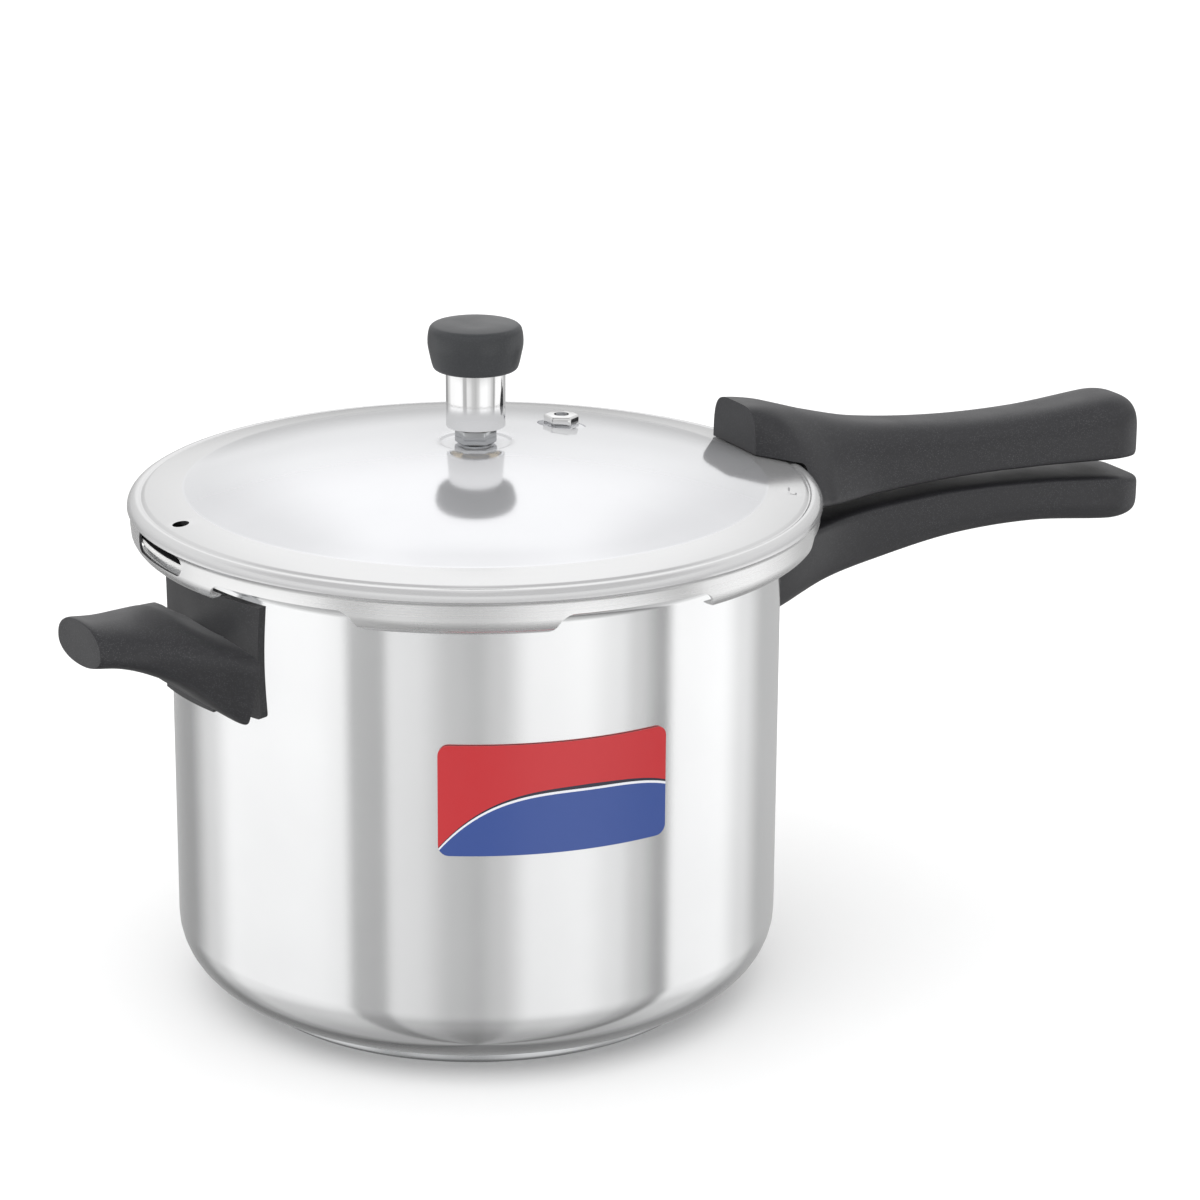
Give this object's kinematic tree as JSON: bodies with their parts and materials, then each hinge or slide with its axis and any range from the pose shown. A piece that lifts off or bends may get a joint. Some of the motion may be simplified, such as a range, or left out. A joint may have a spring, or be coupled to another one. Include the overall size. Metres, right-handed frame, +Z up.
{
  "type": "stovetop pressure cooker",
  "caption": "Stovetop pressure cooker: a steel pot with a long and a short handle, a bayonet lid that lifts and turns, and a jiggling weight on a vent tube.",
  "frame": {"origin": "centre of the flat underside of the base, on the pot's axis", "axes": "+Z up along the pot's axis, +X along the two long handles, -X towards the small handle"},
  "size_m": [0.4242, 0.2382, 0.2362],
  "materials": {
    "polished_steel": "mirror-polished stainless steel",
    "satin_steel": "satin stainless steel",
    "core_aluminium": "plain aluminium, hidden inside the base",
    "black_phenolic": "satin black phenolic moulding with a fine speckle",
    "pale_silicone": "pale matt silicone rubber",
    "grey_silicone": "matt grey silicone",
    "weight_brass": "turned brass",
    "fuse_alloy": "dull low-melting alloy",
    "printed_label": "printed film, red above blue"
  },
  "bodies": {
    "pot": {"pot_shell": "polished_steel", "base_core": "core_aluminium", "base_cap": "satin_steel", "front_label": "printed_label", "body_handle_bracket": "satin_steel", "body_handle": "black_phenolic", "body_handle_screw": "satin_steel", "body_handle_washer": "satin_steel", "helper_handle_bracket": "satin_steel", "helper_handle": "black_phenolic", "helper_handle_screw": "satin_steel", "helper_handle_washer": "satin_steel"},
    "seal": {"sealing_ring": "pale_silicone"},
    "lid": {"lid_shell": "polished_steel", "lid_handle_bracket": "satin_steel", "lid_handle": "black_phenolic", "lid_handle_screw_1": "satin_steel", "lid_handle_washer_1": "satin_steel", "lid_handle_screw_2": "satin_steel", "lid_handle_washer_2": "satin_steel", "vent_tube": "polished_steel", "vent_tube_washer": "grey_silicone", "vent_tube_nut": "satin_steel", "safety_valve_body": "polished_steel", "safety_valve_fuse": "fuse_alloy", "safety_valve_washer": "grey_silicone", "safety_valve_nut": "satin_steel"},
    "needle": {"weight_needle": "polished_steel"},
    "weight": {"weight_core": "weight_brass", "weight_sleeve": "polished_steel", "weight_clip": "satin_steel", "weight_stud": "satin_steel", "weight_knob": "black_phenolic"}
  },
  "joints": [
    {"name": "lid_lift", "type": "slide", "parent": "pot", "child": "seal", "axis": [0, 0, 1], "range_m": [0, 0.12]},
    {"name": "lid_turn", "type": "hinge", "parent": "seal", "child": "lid", "pos_m": [0, 0, 0.17], "axis": [0, 0, 1], "range_deg": [0, 30]},
    {"name": "weight_lift", "type": "slide", "parent": "lid", "child": "needle", "axis": [0, 0, 1], "range_m": [0, 0.035]},
    {"name": "weight_spin", "type": "hinge", "parent": "needle", "child": "weight", "pos_m": [0, 0, 0.21], "axis": [0, 0, 1], "continuous": true}
  ]
}
